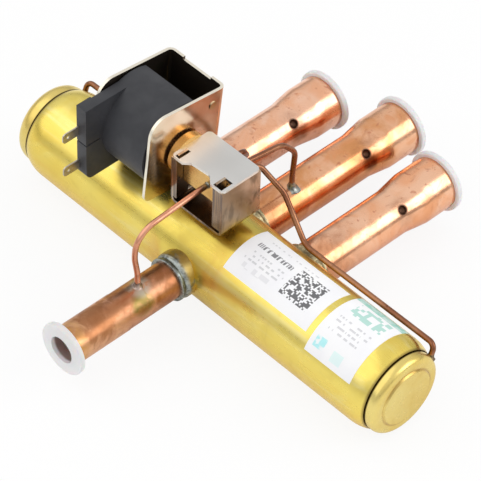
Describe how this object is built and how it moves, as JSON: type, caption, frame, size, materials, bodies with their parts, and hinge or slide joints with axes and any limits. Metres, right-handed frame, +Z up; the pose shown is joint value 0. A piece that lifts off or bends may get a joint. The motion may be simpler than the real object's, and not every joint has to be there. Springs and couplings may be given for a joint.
{
  "type": "four way reversing valve",
  "caption": "Pilot operated four way reversing valve for a heat pump: brass body, copper port tubes, solenoid coil in a steel yoke, capillary tubes and transport caps.",
  "frame": {"origin": "centre of the discharge tube's mouth", "axes": "+X along the valve body away from the coil, -Y out of the discharge tube, +Z up through the pilot valve"},
  "size_m": [0.2824, 0.2539, 0.1126],
  "materials": {
    "body_brass": "polished",
    "cap_brass": "turned and polished",
    "seat_brass": "machined",
    "copper": "bright drawn copper tube",
    "capillary_copper": "drawn copper, slightly tarnished",
    "braze": "silver braze, dull",
    "nickel_sheet": "nickel plated sheet",
    "zinc_sheet": "yellow zinc plated sheet",
    "stainless": "drawn stainless steel",
    "magnet_steel": "turned magnetic steel",
    "coil_plastic": "moulded, matte",
    "tinned_brass": "tinned",
    "label_paper": "coated paper",
    "white_plastic": "translucent white",
    "slide_plastic": "moulded",
    "seal_plastic": "fluoropolymer",
    "spring_steel": "spring steel",
    "piston_metal": "turned"
  },
  "bodies": {
    "valve_body": {"body_tube": "body_brass", "bracket_cover": "nickel_sheet", "bracket_saddle": "nickel_sheet", "coil_body": "coil_plastic", "coil_screw": "magnet_steel", "data_label": "label_paper", "discharge_capillary": "capillary_copper", "discharge_collar": "braze", "discharge_tube": "copper", "fixed_core": "magnet_steel", "left_braze_ring": "braze", "left_capillary": "capillary_copper", "left_end_cap": "cap_brass", "left_port_tube": "copper", "lower_terminal": "tinned_brass", "maker_label": "label_paper", "pilot_body": "cap_brass", "pilot_bracket": "nickel_sheet", "plunger_tube": "stainless", "return_spring": "spring_steel", "right_braze_ring": "braze", "right_capillary": "capillary_copper", "right_end_cap": "cap_brass", "right_port_tube": "copper", "suction_braze_ring": "braze", "suction_capillary": "capillary_copper", "suction_port_tube": "copper", "upper_terminal": "tinned_brass", "valve_seat": "seat_brass", "yoke": "zinc_sheet"},
    "slide_assembly": {"slide_block": "slide_plastic", "carriage": "piston_metal", "slide_spring": "spring_steel", "left_piston": "piston_metal", "left_piston_seal": "seal_plastic", "left_piston_screw": "magnet_steel", "right_piston": "piston_metal", "right_piston_seal": "seal_plastic", "right_piston_screw": "magnet_steel"},
    "plunger": {"pilot_plunger": "magnet_steel", "pilot_needle": "stainless"},
    "discharge_cap": {"discharge_cap": "white_plastic"},
    "left_port_cap": {"left_port_cap": "white_plastic"},
    "suction_port_cap": {"suction_port_cap": "white_plastic"},
    "right_port_cap": {"right_port_cap": "white_plastic"}
  },
  "joints": [
    {"name": "main_slide", "type": "slide", "parent": "valve_body", "child": "slide_assembly", "axis": [1, 0, 0], "range_m": [0, 0.044]},
    {"name": "plunger_slide", "type": "slide", "parent": "valve_body", "child": "plunger", "axis": [-1, 0, 0], "range_m": [0, 0.0024], "stiffness_N_per_m": 300, "springref_m": -0.004, "deforming": ["return_spring"]},
    {"name": "discharge_cap_pull", "type": "slide", "parent": "valve_body", "child": "discharge_cap", "axis": [0, -1, 0], "range_m": [0, 0.08]},
    {"name": "left_port_cap_pull", "type": "slide", "parent": "valve_body", "child": "left_port_cap", "axis": [0, 1, 0], "range_m": [0, 0.08]},
    {"name": "suction_port_cap_pull", "type": "slide", "parent": "valve_body", "child": "suction_port_cap", "axis": [0, 1, 0], "range_m": [0, 0.08]},
    {"name": "right_port_cap_pull", "type": "slide", "parent": "valve_body", "child": "right_port_cap", "axis": [0, 1, 0], "range_m": [0, 0.08]}
  ]
}
